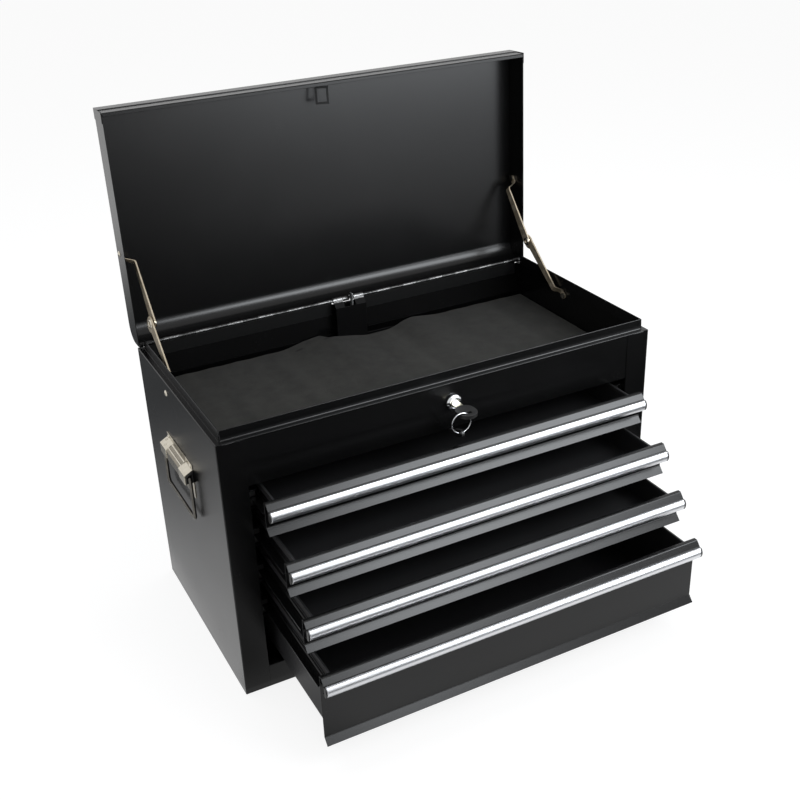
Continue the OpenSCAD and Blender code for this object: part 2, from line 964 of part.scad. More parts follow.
// Flat stay link along +y, cranked near its stud end, for the right side
module link(x_main) {
    difference() {
        intersection() {
            linear_extrude(height = 2 * stay_r, center = true)
                polygon([[stay_end_x, -stay_r], [stay_end_x, crank_a], [x_main, crank_b],
                    [x_main, stay_len + stay_r], [x_main + stay_t, stay_len + stay_r],
                    [x_main + stay_t, crank_b], [stay_end_x + stay_t, crank_a], [stay_end_x + stay_t, -stay_r]]);
            along_x(x_main - cut, hw)
                union() {
                    circle(r = stay_end_r);
                    translate([stay_len, 0])
                        circle(r = stay_r);
                    polygon([[0, -stay_end_r], [stay_len, -stay_r], [stay_len, stay_r], [0, stay_end_r]]);
                }
        }
        rod_x(stay_end_x - cut, hw, stud_r + fit);
    }
}

module lower_link() {
    translate([0, hinge_y + stay_l[0], hinge_z + stay_l[1]])
        rotate([stay_low_ang, 0, 0])
            union() {
                link(stay_low_x);
                translate([stay_low_x + stay_t, stay_len, 0])
                    rod_x(0, rivet_h, rivet_r);
            }
}

module upper_link() {
    translate([0, hinge_y + stay_u[0], hinge_z + stay_u[1]])
        rotate([stay_up_ang, 0, 0])
            union() {
                link(stay_up_x);
                translate([stay_up_x - rivet_h, stay_len, 0])
                    rod_x(0, rivet_h, rivet_r);
            }
}

module stay_lower_left() {
    color(nickel)
        mirror([1, 0, 0])
            lower_link();
}

module stay_lower_right() {
    color(nickel)
        lower_link();
}

module stay_upper_left() {
    color(nickel)
        mirror([1, 0, 0])
            upper_link();
}

module stay_upper_right() {
    color(nickel)
        upper_link();
}

module lock_plug() {
    nose = bezel_h + plug_nose;
    keyway = blade_hw + blade_gap;
    keyway_t = blade_t / 2 + blade_gap;
    color(chrome)
        translate([lock_x, panel_face, lock_z])
            difference() {
                union() {
                    rod_y(-nose, barrel_l + cam_gap, plug_r);
                    rod_y(barrel_l, barrel_l + cam_gap + cam_t, cam_neck);
                }
                bar(-keyway, keyway, -nose - cut, barrel_l - keyway_end, -keyway_t, keyway_t);
            }
}

module lock_cam() {
    color(zinc)
        translate([lock_x, panel_face + barrel_l + cam_gap, lock_z])
            rotate([-90, 0, 0])
                difference() {
                    union() {
                        cylinder(r = cam_r, h = cam_t);
                        translate([-cam_l + cam_r, -cam_r, 0])
                            cube([cam_l - cam_r, 2 * cam_r, cam_t]);
                        translate([-cam_l + cam_r, 0, 0])
                            cylinder(r = cam_r, h = cam_t);
                    }
                    translate([0, 0, -cut])
                        cylinder(r = cam_neck, h = cam_t + 2 * cut);
                }
}

module key_blade() {
    shank_end = panel_face - bezel_h - shank_gap;
    tip = panel_face + barrel_l - blade_end;
    root = head_y + head_r - shank_bite;
    color(chrome)
        translate([lock_x, 0, lock_z])
            union() {
                bar(-blade_hw, blade_hw, root, tip, -blade_t / 2, blade_t / 2);
                bar(-shank_hw, shank_hw, root, shank_end, -blade_t / 2, blade_t / 2);
            }
}

// Plan of the key head, a stadium along y
module head_plan() {
    translate([0, head_y])
        circle(r = head_r);
    translate([0, head_y - head_l])
        circle(r = head_r);
    translate([-head_r, head_y - head_l])
        square([2 * head_r, head_l]);
}

module key_head() {
    color(plastic)
        translate([lock_x, 0, lock_z - head_t / 2])
            difference() {
                linear_extrude(height = head_t)
                    difference() {
                        head_plan();
                        translate([-eye_edge + eye_strip, ring_y - eye_h / 2])
                            square([eye_w, eye_h]);
                    }
                bar(-shank_hw, shank_hw, head_y + head_r - shank_bite, -hd,
                    (head_t - blade_t) / 2, (head_t + blade_t) / 2);
            }
}

module key_ring() {
    color(chrome)
        translate([ring_x, ring_y, lock_z - ring_drop])
            rotate([90, 0, 0])
                rotate_extrude()
                    translate([ring_r, 0])
                        circle(r = wire_r);
}

// Second key on the foot of the ring, leaning back towards the panel
module spare_key() {
    color(plastic)
        translate([ring_x, ring_y, lock_z - ring_drop - ring_r - spare_drop])
            rotate([spare_ang, 0, 0])
                difference() {
                    union() {
                        along_x(-spare_t / 2, spare_t / 2)
                            union() {
                                circle(r = spare_r);
                                translate([0, -spare_r])
                                    square([spare_l, 2 * spare_r]);
                                translate([spare_l, 0])
                                    circle(r = spare_r);
                            }
                        bar(-blade_t / 2, blade_t / 2, spare_l, spare_tip, -spare_blade_hw, spare_blade_hw);
                    }
                    rod_x(-spare_t, spare_t, spare_hole_r);
                }
}

// Lock bar behind the drawers, with a hook for each drawer and a slotted ear for the lid lever
module lock_bar() {
    slot = pin_r + slot_gap;
    slot_y0 = hinge_y - lever_r - slot;
    slot_y1 = hinge_y + lever_r * cos(lever_ang) + slot;
    slot_z = hinge_z + lever_r * sin(lever_ang);
    ear_y0 = slot_y0 - ear_front;
    ear_y1 = slot_y1 + ear_rear;
    ear_top = slot_z + slot + ear_over;
    bar_top = hinge_z - lever_r - lever_hw - lever_room;
    hook_y = box_rear - hd + hook_room;
    lip_z = hook_z + hook_t + hook_lip + hook_rise;
    color(zinc)
        difference() {
            union() {
                bar(bar_x - bar_hw, bar_x + bar_hw, bar_y, bar_y + bar_t, tops[3] + hook_z, bar_top);
                bar(ear_x, ear_x + ear_t, ear_y0, ear_y1, bar_top - ear_root, ear_top);
                for (z = tops) {
                    bar(bar_x - hook_hw, bar_x + hook_hw, hook_y, bar_y + bar_t,
                        z + lip_z + hook_lip, z + lip_z + hook_lip + hook_t);
                    bar(bar_x - hook_hw, bar_x + hook_hw, hook_y, hook_y + hook_t,
                        z + lip_z, z + lip_z + hook_lip + hook_t);
                }
            }
            bar(ear_x - cut, ear_x + ear_t + cut, slot_y0, slot_y1, slot_z - slot, slot_z + slot);
        }
}

module at_drawer(i) {
    translate([0, -hd - pulls[i], tops[i]])
        children();
}

// Roll-formed drawer front: lower flare, flat panel, top and grip strip
module a_front(i) {
    h = front_h[i];
    strip_slope = atan2(strip_top, strip_y) + 180;
    slope_in = skin * (1 - sin(strip_slope)) / cos(strip_slope);
    slope_low = skin * (1 - cos(strip_slope)) / sin(strip_slope);
    flare_low = skin * (1 - cos(flare_ang)) / sin(flare_ang);
    inner_y = strip_y + skin;
    back_y = panel_y + skin;
    color(black)
        along_x(-front_hw, front_hw)
            polygon([[flare_y, -h], [panel_y, -h + flare], [panel_y, -skin], [slope_low, -skin],
                [inner_y, strip_top - slope_in], [inner_y, strip_foot + skin],
                [strip_lip, strip_foot + skin], [strip_lip, strip_foot], [strip_y, strip_foot],
                [strip_y, strip_top], [0, 0], [back_y, 0], [back_y, -h + flare - flare_low],
                [flare_y + skin * cos(flare_ang), -h - skin * sin(flare_ang)]]);
}

module trim_section() {
    intersection() {
        translate([strip_y - trim_d, trim_top - trim_h])
            square([trim_d, trim_h]);
        translate([strip_y - trim_d + trim_round, trim_top - trim_h / 2])
            circle(r = trim_round);
    }
}

module a_trim(i) {
    color(alloy)
        along_x(-front_hw + cap_t, front_hw - cap_t)
            trim_section();
}

module a_caps(i) {
    color(plastic)
        for (x = [-front_hw, front_hw - cap_t])
            along_x(x, x + cap_t)
                trim_section();
}

// Folded drawer box with rolled top edges and the catch for the lock bar
module a_box(i) {
    y0 = panel_y + skin;
    z0 = -front_h[i] + box_lift;
    roll_x = box_hw - box_lip;
    color(black)
        union() {
            bar(-box_hw, box_hw, y0, box_rear, z0, z0 + skin);
            bar(-box_hw, box_hw, box_rear - skin, box_rear, z0, box_top);
            for (s = [0, 1])
                mirror([s, 0, 0]) {
                    bar(box_hw - skin, box_hw, y0, box_rear, z0, box_top);
                    bar(roll_x, box_hw, y0, box_rear, box_top - skin, box_top);
                    bar(roll_x, roll_x + skin, y0, box_rear, box_top - box_roll, box_top);
                }
            bar(bar_x - hook_hw, bar_x + hook_hw, box_rear - skin, box_rear + hook_out, hook_z, hook_z + hook_t);
            bar(bar_x - hook_hw, bar_x + hook_hw, box_rear + hook_out - hook_t, box_rear + hook_out, hook_z,
                hook_z + hook_t + hook_lip);
        }
}

// Runner on each side of a box: web, rib and a rear stop that rides in the channel
module a_runners(i) {
    z = slide_z[i];
    hh = runner_hh;
    y0 = runner_y0;
    y1 = box_rear - runner_back;
    stop = channel_h - channel_t - glide_gap;
    stop_x0 = open_hw - channel_d + stop_side;
    stop_x1 = open_hw - channel_t - stop_gap;
    color(zinc)
        for (s = [0, 1])
            mirror([s, 0, 0])
                union() {
                    bar(box_hw, box_hw + runner_t, y0, y1, z - hh, z + hh);
                    bar(box_hw, open_hw - channel_t - rib_room, y0, y1, z - rib_t, z + rib_t);
                    bar(box_hw + runner_t, stop_x1, y1 - stop_l, y1, z - hh, z + hh);
                    bar(stop_x0, stop_x1, y1 - stop_l, y1, z - stop, z + stop);
                }
}

module drawer_1_box() {
    at_drawer(0) a_box(0);
}

module drawer_1_front() {
    at_drawer(0) a_front(0);
}

module drawer_1_trim() {
    at_drawer(0) a_trim(0);
}

module drawer_1_caps() {
    at_drawer(0) a_caps(0);
}

module drawer_1_runners() {
    at_drawer(0) a_runners(0);
}

module drawer_2_box() {
    at_drawer(1) a_box(1);
}

module drawer_2_front() {
    at_drawer(1) a_front(1);
}

module drawer_2_trim() {
    at_drawer(1) a_trim(1);
}

module drawer_2_caps() {
    at_drawer(1) a_caps(1);
}

module drawer_2_runners() {
    at_drawer(1) a_runners(1);
}

module drawer_3_box() {
    at_drawer(2) a_box(2);
}

module drawer_3_front() {
    at_drawer(2) a_front(2);
}

module drawer_3_trim() {
    at_drawer(2) a_trim(2);
}

module drawer_3_caps() {
    at_drawer(2) a_caps(2);
}

module drawer_3_runners() {
    at_drawer(2) a_runners(2);
}

module drawer_4_box() {
    at_drawer(3) a_box(3);
}

module drawer_4_front() {
    at_drawer(3) a_front(3);
}

module drawer_4_trim() {
    at_drawer(3) a_trim(3);
}

module drawer_4_caps() {
    at_drawer(3) a_caps(3);
}

module drawer_4_runners() {
    at_drawer(3) a_runners(3);
}

side_left();
side_right();
back_panel();
bottom_panel();
front_panel();
till_floor();
till_mat();
slide_posts();
slide_channels();
slide_glides();
casing_leaf();
hinge_pin();
bar_cover();
bar_guides();
lock_barrel();
lock_nut();
handle_brackets();
handle_bushes();
handle_rivets();
casing_studs();
lid_shell();
lid_ends();
lid_front_rail();
lid_leaf();
striker();
lid_studs();
stay_lower_left();
stay_lower_right();
stay_upper_left();
stay_upper_right();
lock_plug();
lock_cam();
key_blade();
key_head();
key_ring();
spare_key();
lock_bar();
bail_left();
bail_right();
drawer_1_box();
drawer_1_front();
drawer_1_trim();
drawer_1_caps();
drawer_1_runners();
drawer_2_box();
drawer_2_front();
drawer_2_trim();
drawer_2_caps();
drawer_2_runners();
drawer_3_box();
drawer_3_front();
drawer_3_trim();
drawer_3_caps();
drawer_3_runners();
drawer_4_box();
drawer_4_front();
drawer_4_trim();
drawer_4_caps();
drawer_4_runners();
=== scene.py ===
# %% [markdown]
# A steel top chest in Blender: the lid stands open on two folding stays and the four drawers are
# pulled out in steps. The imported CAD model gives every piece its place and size. This script
# gives the pieces their finishes, their folded edges and the soft mat that CAD draws only
# roughly. All lengths are in metres.

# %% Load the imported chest
import bpy
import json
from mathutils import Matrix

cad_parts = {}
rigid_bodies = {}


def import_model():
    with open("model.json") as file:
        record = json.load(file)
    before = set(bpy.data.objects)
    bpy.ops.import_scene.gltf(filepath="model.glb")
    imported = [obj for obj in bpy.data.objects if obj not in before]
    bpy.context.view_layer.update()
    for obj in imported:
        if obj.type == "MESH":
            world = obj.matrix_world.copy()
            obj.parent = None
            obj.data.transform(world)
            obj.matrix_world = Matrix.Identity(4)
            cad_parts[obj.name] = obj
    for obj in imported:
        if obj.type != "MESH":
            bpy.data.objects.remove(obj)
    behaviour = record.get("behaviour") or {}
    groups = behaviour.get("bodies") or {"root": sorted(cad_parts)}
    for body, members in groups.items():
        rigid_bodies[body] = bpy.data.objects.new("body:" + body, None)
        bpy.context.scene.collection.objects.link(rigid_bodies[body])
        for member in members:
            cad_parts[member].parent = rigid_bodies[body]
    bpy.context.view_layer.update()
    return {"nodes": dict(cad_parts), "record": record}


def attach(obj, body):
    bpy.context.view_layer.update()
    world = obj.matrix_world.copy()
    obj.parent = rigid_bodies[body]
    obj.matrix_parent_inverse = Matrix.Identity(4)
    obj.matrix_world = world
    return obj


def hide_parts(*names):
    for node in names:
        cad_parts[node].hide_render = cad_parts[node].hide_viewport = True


for leftover in list(bpy.data.objects):
    bpy.data.objects.remove(leftover)
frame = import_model()
nodes = frame["nodes"]

# %% [markdown]
# The camera. A photograph's viewpoint can be found by hand, or solved from straight edges whose
# places are known. Here it was solved: a focal length in pixels and three directions, which
# become the camera's matrix.

# %% Camera
from mathutils import Matrix, Vector

PICTURE = 800
FOCAL = 1131.4738
SENSOR = 36.0
NEAREST = 0.05
camera_at = Vector((-0.6016, -1.2236, 0.9687))
to_right = Vector((0.886202, -0.461893, -0.036060))
to_foot = Vector((-0.240416, -0.391942, -0.888021))
ahead = Vector((0.396037, 0.795636, -0.458386))

lens = bpy.data.cameras.new("camera")
lens.sensor_width = SENSOR
lens.lens = FOCAL / PICTURE * SENSOR
lens.clip_start = NEAREST
camera = bpy.data.objects.new("camera", lens)
turned = Matrix((to_right, -to_foot, -ahead)).transposed().to_4x4()
camera.matrix_world = Matrix.Translation(camera_at) @ turned
scene = bpy.context.scene
scene.collection.objects.link(camera)
scene.camera = camera
scene.view_settings.view_transform = "Standard"
print("camera with a lens of", round(lens.lens, 2), "mm")

# %% [markdown]
# Shader maths reads best as plain sums, but Blender wants a Math node for each step. This small
# class wraps one socket of a node tree. A sum or product of wires adds the Math node by itself,
# and the node method adds any other node, with its settings first and then the values or wires
# of its inputs.

# %% Wires for node trees
import math


class Wire:
    """One socket of a node tree, which can be added, multiplied and fed to other nodes."""

    def __init__(self, socket):
        self.socket = socket
        self.tree = socket.id_data

    def node(self, kind, settings=None, inputs=None, output=0):
        made = self.tree.nodes.new(kind)
        for key, value in (settings or {}).items():
            setattr(made, key, value)
        for name, value in (inputs or {}).items():
            if isinstance(value, Wire):
                self.tree.links.new(value.socket, made.inputs[name])
            else:
                made.inputs[name].default_value = value
        return Wire(made.outputs[output]) if made.outputs else None

    def maths(self, operation, first, second=0.0):
        return self.node("ShaderNodeMath", {"operation": operation}, {0: first, 1: second})

    def __add__(self, other):
        return self.maths("ADD", self, other)

    def __radd__(self, other):
        return self.maths("ADD", other, self)

    def __sub__(self, other):
        return self.maths("SUBTRACT", self, other)

    def __rsub__(self, other):
        return self.maths("SUBTRACT", other, self)

    def __mul__(self, other):
        return self.maths("MULTIPLY", self, other)

    def __rmul__(self, other):
        return self.maths("MULTIPLY", other, self)

    def __abs__(self):
        return self.maths("ABSOLUTE", self)

    def either(self, other):
        return self.maths("MAXIMUM", self, other)

    def over(self, limit):
        """1 where this wire is greater than the limit, 0 elsewhere."""
        return self.maths("GREATER_THAN", self, limit)

    def root(self):
        return self.maths("SQRT", self)

    def blend(self, low, high):
        """A colour between two colours, with this wire as the share of the second."""
        low, high = ((*c, 1.0) if isinstance(c, tuple) else c for c in (low, high))
        inputs = {0: self, 6: low, 7: high}
        return self.node("ShaderNodeMix", {"data_type": "RGBA"}, inputs, output=2)

    def stretched(self, *factors):
        """This vector with each axis stretched by its own factor."""
        return self.node("ShaderNodeVectorMath", {"operation": "MULTIPLY"}, {0: self, 1: factors})

    def noise(self, scale, detail=2.0, roughness=0.5):
        inputs = {"Vector": self, "Scale": scale, "Detail": detail, "Roughness": roughness}
        return self.node("ShaderNodeTexNoise", None, inputs)

    def part(self, axis):
        """One coordinate of this vector: 0, 1 or 2."""
        return self.node("ShaderNodeSeparateXYZ", None, {0: self}, output=axis)

    def between(self, low, high):
        """0 at low, 1 at high, smooth between them."""
        inputs = {"Value": self, "From Min": low, "From Max": high}
        return self.node("ShaderNodeMapRange", {"interpolation_type": "SMOOTHSTEP"}, inputs)


def new_finish(name):
    """A new material, and its place coordinates as a wire."""
    material = bpy.data.materials.new(name)
    material.use_nodes = True
    material.node_tree.nodes.clear()
    place = Wire(material.node_tree.nodes.new("ShaderNodeTexCoord").outputs["Object"])
    return material, place


print("wires ready")

# %% [markdown]
# The white studio. The chest stands on plain white, so floor and world look white to the camera
# and in the metal. Turning the lamps up until they clip would flood the chest. Instead the
# floor's glow is seen only by camera, mirror and glass rays, and a share of ordinary lit white
# on top of it carries the shadow.

# %% White world and floor
FLOOR_GLOW = 0.86
FLOOR_LIT = 0.28
FLOOR_PALE = 0.80
FLOOR_REACH = (-20.0, 20.0)
AMBIENT = 0.34
WHITE = (1.0, 1.0, 1.0, 1.0)


def seen_directly(tree):
    """1 for rays of the camera, of mirrors and of glass, 0 for light that only brightens."""
    path = tree.nodes.new("ShaderNodeLightPath").outputs
    rays = ("Camera", "Glossy", "Transmission")
    eye, mirror, glass = (Wire(path[f"Is {ray} Ray"]) for ray in rays)
    return eye.either(mirror).either(glass)


def white_world():
    world = bpy.data.worlds.new("studio")
    world.use_nodes = True
    world.node_tree.nodes.clear()
    seen = seen_directly(world.node_tree)
    strength = seen * (1.0 - AMBIENT) + AMBIENT
    glow = seen.node("ShaderNodeBackground", None, {"Color": WHITE, "Strength": strength})
    glow.node("ShaderNodeOutputWorld", None, {"Surface": glow})
    return world


def white_floor_finish():
    material, _ = new_finish("white_floor")
    seen = seen_directly(material.node_tree)
    colour = seen.blend((FLOOR_PALE,) * 3, (FLOOR_LIT,) * 3)
    lit = seen.node("ShaderNodeBsdfDiffuse", None, {"Color": colour})
    glow = seen.node("ShaderNodeEmission", None, {"Strength": seen * FLOOR_GLOW})
    both = seen.node("ShaderNodeAddShader", None, {0: lit, 1: glow})
    seen.node("ShaderNodeOutputMaterial", None, {"Surface": both})
    return material


def flat_sheet(name, across, along, material):
    """A rectangle of the stage, given by its reach in x and in y."""
    (x0, x1), (y0, y1) = across, along
    outline = [(x0, y0, 0), (x1, y0, 0), (x1, y1, 0), (x0, y1, 0)]
    mesh = bpy.data.meshes.new(name)
    mesh.from_pydata(outline, [], [range(len(outline))])
    mesh.materials.append(material)
    piece = bpy.data.objects.new(name, mesh)
    scene.collection.objects.link(piece)
    return piece


scene.world = white_world()
flat_sheet("floor", FLOOR_REACH, FLOOR_REACH, white_floor_finish())
print("floor of", FLOOR_REACH[1] - FLOOR_REACH[0], "m")

# %% [markdown]
# Two soft boxes, as in a catalogue studio. One stands to the front and right, high up, and a
# wider one overhead brightens the mat and the tops of the edges. They give plain light only.
# Gloss is left out of them, because the black paint mirrors the cards of the next step instead.

# %% Soft boxes
LAMPS = {
    "front_box": {"at": (1.00, -1.45, 1.62), "aim": (0.0, -0.25, 0.25),
                  "size": (1.4, 1.1), "radiance": 3.6},
    "top_box": {"at": (0.0, 0.25, 2.3), "aim": (0.0, 0.0, 0.3),
                "size": (1.7, 1.2), "radiance": 2.6},
}
COOL = (0.93, 0.965, 1.0)


def aimed(at, aim):
    """The turn that points a lamp or a sheet at a place."""
    return (Vector(aim) - Vector(at)).to_track_quat("-Z", "Y").to_euler()


def soft_box(name, at, aim, size, radiance):
    lamp = bpy.data.lights.new(name, "AREA")
    lamp.shape = "RECTANGLE"
    lamp.size, lamp.size_y = size
    lamp.color = COOL
    lamp.energy = radiance * math.pi * size[0] * size[1]
    box = bpy.data.objects.new(name, lamp)
    box.location = at
    box.rotation_euler = aimed(at, aim)
    box.visible_glossy = False
    scene.collection.objects.link(box)
    return box


for name, lamp in LAMPS.items():
    made = soft_box(name, **lamp)
    print(name, "with", round(made.data.energy, 1), "W")

# %% [markdown]
# Cards. A photographer lays black card around a black object, outside the picture, so that its
# flat sides mirror dark and its edges shine, and hangs a pale sheet where a side needs a gleam.
# These fade out at their edges and are seen only in gloss, so they don't brighten the chest as a
# lamp would. Most lie on the floor. Of the two sheets, the high one hangs above the drawers and
# the low one stands upright in front.

# %% Cards
# Each has its reach across, its reach along, the fade at its edges both ways, and its glow.
CARDS = {
    "front_card": ((-1.20, 1.50), (-1.25, -0.46), (0.30, 0.12), 0.0),
    "viewer_card": ((-2.40, 0.95), (-3.60, -0.95), (0.85, 0.30), 0.0),
    "left_card": ((-1.80, -0.302), (-0.24, 1.90), (0.02, 0.95), 0.13),
    "pillar_card": ((-0.40, -0.17), (-0.44, -0.10), (0.16, 0.12), 0.0),
    "right_card": ((0.42, 1.00), (-0.62, -0.18), (0.07, 0.07), 0.0),
    "pale_card": ((0.55, 5.20), (-4.60, -1.00), (1.20, 1.20), 1.2),
    "high_sheet": ((-0.62, 0.75), (-0.27, 0.30), (0.45, 0.20), 13.0),
    "low_sheet": ((0.45, 4.20), (0.03, 0.95), (1.40, 0.16), 6.0),
}
CARD_RISE = 0.002
HIGH_SHEET_AT = (0.36, -0.76, 0.75)
HIGH_SHEET_AIM = (0.0, -0.24, 0.26)
LOW_SHEET_AT = (0.0, -3.0, 0.0)
UPRIGHT = (math.radians(90.0), 0.0, 0.0)
HUNG = {
    "high_sheet": (HIGH_SHEET_AT, aimed(HIGH_SHEET_AT, HIGH_SHEET_AIM)),
    "low_sheet": (LOW_SHEET_AT, UPRIGHT),
}


def soft_card_finish(name, across, along, fade, glow):
    material, place = new_finish(name)
    cover = 1.0
    for axis, (low, high), soft in ((0, across, fade[0]), (1, along, fade[1])):
        there = place.part(axis)
        cover = cover * there.between(low, low + soft)
        cover = cover * (1.0 - there.between(high - soft, high))
    clear = place.node("ShaderNodeBsdfTransparent")
    card = place.node("ShaderNodeEmission", None, {"Color": (*COOL, 1.0), "Strength": glow})
    mixed = place.node("ShaderNodeMixShader", None, {0: cover, 1: clear, 2: card})
    place.node("ShaderNodeOutputMaterial", None, {"Surface": mixed})
    return material


for count, (name, card) in enumerate(CARDS.items(), 1):
    across, along = card[:2]
    sheet = flat_sheet(name, across, along, soft_card_finish(name, *card))
    sheet.location = (0.0, 0.0, count * CARD_RISE)
    if name in HUNG:
        sheet.location, sheet.rotation_euler = HUNG[name]
    sheet.visible_camera = False
    sheet.visible_diffuse = False
    sheet.visible_shadow = False
print(len(CARDS), "cards")

# %% [markdown]
# The black coat. Powder paint melts into a satin skin with a faint orange peel. The peel is a
# small bump from noise, and a second, broader noise varies the gloss, since a single grey would
# look like plastic. Inside the drawers the coat is a paler and duller copy of the same paint:
# its paler colour is painted light in the boxes. The till's floor gets a darker copy with hardly
# any shine, which is painted shade that keeps it dark behind the mat.

# %% Black coat
PEEL = 650.0
PEEL_DEPTH = 0.000012
CLOUDS = 14.0
COAT_TINT = (1.0, 1.0, 1.06)
COAT_SHINE = 0.3
TILL_SHINE = 0.03
DARKER, LIGHTER = 0.75, 1.3


def close_finish(place, inputs, bump, depth):
    """Ends a finish with one shader. The bump's depth is in metres."""
    height = {"Strength": 1.0, "Distance": depth, "Height": bump}
    inputs["Normal"] = place.node("ShaderNodeBump", None, height)
    shader = place.node("ShaderNodeBsdfPrincipled", None, inputs)
    place.node("ShaderNodeOutputMaterial", None, {"Surface": shader})


def greys(shade, tint=(1.0, 1.0, 1.0)):
    """The darkest and the lightest colour around a shade."""
    return (tuple(shade * share * t for t in tint) for share in (DARKER, LIGHTER))


def black_coat(name, shade, gloss_low, gloss_high, shine=COAT_SHINE):
    material, place = new_finish(name)
    broad = place.noise(CLOUDS, 3.0)
    fine = place.noise(PEEL, 2.0)
    colour = (broad * 0.5 + fine * 0.5).blend(*greys(shade, COAT_TINT))
    roughness = gloss_low + (gloss_high - gloss_low) * (broad * 0.6 + fine * 0.4)
    inputs = {"Base Color": colour, "Roughness": roughness, "Specular IOR Level": shine}
    close_finish(place, inputs, fine, PEEL_DEPTH)
    return material


paint = black_coat("black_paint", 0.0032, 0.22, 0.30)
# A paler copy of the coat for the drawer boxes: its lighter colour is painted light.
inside_painted_light = black_coat("inside_painted_light", 0.024, 0.38, 0.48)
# A darker copy of the coat with hardly any shine for the till's floor: painted shade behind the
# mat.
till_painted_shade = black_coat("till_painted_shade", 0.0015, 0.34, 0.44, TILL_SHINE)
print(paint.name, inside_painted_light.name, till_painted_shade.name)

# %% [markdown]
# Plated metals. Nickel on the rivets and studs is warm and nearly a mirror, chrome on the lock is
# colder, and zinc on the hidden lock parts is duller with small crystals. The bails are dark,
# glossy wire and the key is a dull yellow blank. These are full metals, told apart by tint and
# roughness. The stay blades carry a thin wash of plate, so they count as metal only in part.

# %% Plated metals
# Each has its dark and light tint, its roughness from and to, the grain, the bump's depth, and
# how much of it is metal.
PLATES = {
    "bright_nickel": ((0.50, 0.46, 0.39), (0.66, 0.62, 0.53), 0.10, 0.18, 1400.0, 0.000006, 1.0),
    "chrome": ((0.58, 0.59, 0.61), (0.70, 0.71, 0.73), 0.06, 0.12, 1600.0, 0.000003, 1.0),
    "stay_plate": ((0.46, 0.38, 0.27), (0.64, 0.56, 0.43), 0.22, 0.32, 1400.0, 0.000008, 0.45),
    "bail_wire": ((0.07, 0.067, 0.060), (0.14, 0.132, 0.118), 0.08, 0.12, 1200.0, 0.00001, 1.0),
    "key_blank": ((0.52, 0.49, 0.36), (0.66, 0.62, 0.48), 0.34, 0.46, 900.0, 0.00001, 1.0),
    "zinc_steel": ((0.46, 0.47, 0.48), (0.62, 0.63, 0.64), 0.28, 0.42, 900.0, 0.00001, 1.0),
}
PLATE_CLOUDS = 90.0


def plated(name, dark, light, gloss_low, gloss_high, grain, depth, metal):
    material, place = new_finish(name)
    cloud = place.noise(PLATE_CLOUDS, 3.0)
    speck = place.noise(grain, 2.0)
    colour = (cloud * 0.6 + speck * 0.4).between(0.3, 0.7).blend(dark, light)
    roughness = gloss_low + (gloss_high - gloss_low) * (cloud * 0.5 + speck * 0.5)
    inputs = {"Base Color": colour, "Metallic": metal, "Roughness": roughness}
    close_finish(place, inputs, speck, depth)
    return material


plates = {name: plated(name, *look) for name, look in PLATES.items()}
print(*plates)

# %% [markdown]
# The handle brackets are pressed from plated strip. Hands keep their ends bright, while the middle
# stays dull and brown between them. The place along the bracket decides between the two looks.

# %% Bracket finish
BRACKET_MID = 0.006
SLEEVE_START = 0.026
SLEEVE_FADE = 0.002
BRACKET_CLOUDS = 160.0
BRACKET_DEPTH = 0.00002


def bracket_finish():
    material, place = new_finish("bracket_plate")
    along = place.part(1) - BRACKET_MID
    ends = abs(along).between(SLEEVE_START - SLEEVE_FADE, SLEEVE_START)
    cloud = place.noise(BRACKET_CLOUDS, 3.0)
    bright = cloud.blend((0.50, 0.46, 0.38), (0.66, 0.62, 0.53))
    dull = cloud.blend((0.20, 0.18, 0.145), (0.30, 0.275, 0.225))
    colour = ends.blend(dull, bright)
    roughness = 0.24 - 0.08 * ends + 0.08 * cloud
    inputs = {"Base Color": colour, "Metallic": 1.0, "Roughness": roughness}
    close_finish(place, inputs, cloud, BRACKET_DEPTH)
    return material


bracket = bracket_finish()
print(bracket.name)

# %% [markdown]
# Brushed aluminium. The grips are drawn lengthwise through a brush, so their streaks run along the
# drawer. Noise that is several hundred times finer across than along x gives such streaks, in
# colour, gloss and bump at once.

# %% Brushed trim
STREAKS = (6.0, 3200.0, 3200.0)
BROAD_STREAKS = (3.0, 160.0, 160.0)
STREAK_DEPTH = 0.00005


def brushed(name, dark, light):
    material, place = new_finish(name)
    streak = place.stretched(*STREAKS).noise(1.0, 3.0, 0.6)
    broad = place.stretched(*BROAD_STREAKS).noise(1.0, 2.0)
    colour = (streak * 0.6 + broad * 0.4).between(0.25, 0.75).blend(dark, light)
    roughness = 0.26 + 0.14 * streak
    inputs = {"Base Color": colour, "Metallic": 1.0, "Roughness": roughness}
    close_finish(place, inputs, streak, STREAK_DEPTH)
    return material


trim = brushed("brushed_trim", (0.60, 0.61, 0.63), (0.76, 0.77, 0.79))
print(trim.name)

# %% [markdown]
# Moulded plastic. The end caps, the key head and the bushes have a fine spark-eroded grain. Nylon
# pads are smoother. The loop on the lid is dipped in a matt black, the roughest of the three.

# %% Plastics
PLASTIC_CLOUDS = 60.0


def moulded(name, shade, gloss_low, gloss_high, grain, depth):
    material, place = new_finish(name)
    pits = place.noise(grain, 2.0, 0.6)
    cloud = place.noise(PLASTIC_CLOUDS)
    colour = (pits * 0.5 + cloud * 0.5).blend(*greys(shade))
    roughness = gloss_low + (gloss_high - gloss_low) * pits
    close_finish(place, {"Base Color": colour, "Roughness": roughness}, pits, depth)
    return material


plastic = moulded("black_plastic", 0.005, 0.34, 0.46, 1500.0, 0.00002)
dipped = moulded("dipped_black", 0.0025, 0.78, 0.86, 1100.0, 0.00003)
nylon = moulded("nylon", 0.012, 0.38, 0.5, 700.0, 0.000008)
print(plastic.name, dipped.name, nylon.name)

# %% [markdown]
# The piano hinge. Its leaves are painted with the chest, but the rolled knuckles are scraped bright
# by the pin. One finish serves both: a band around the hinge axis, found from the place
# coordinates, turns paint into steel. The cover that hangs on the hinge has wider knuckles.

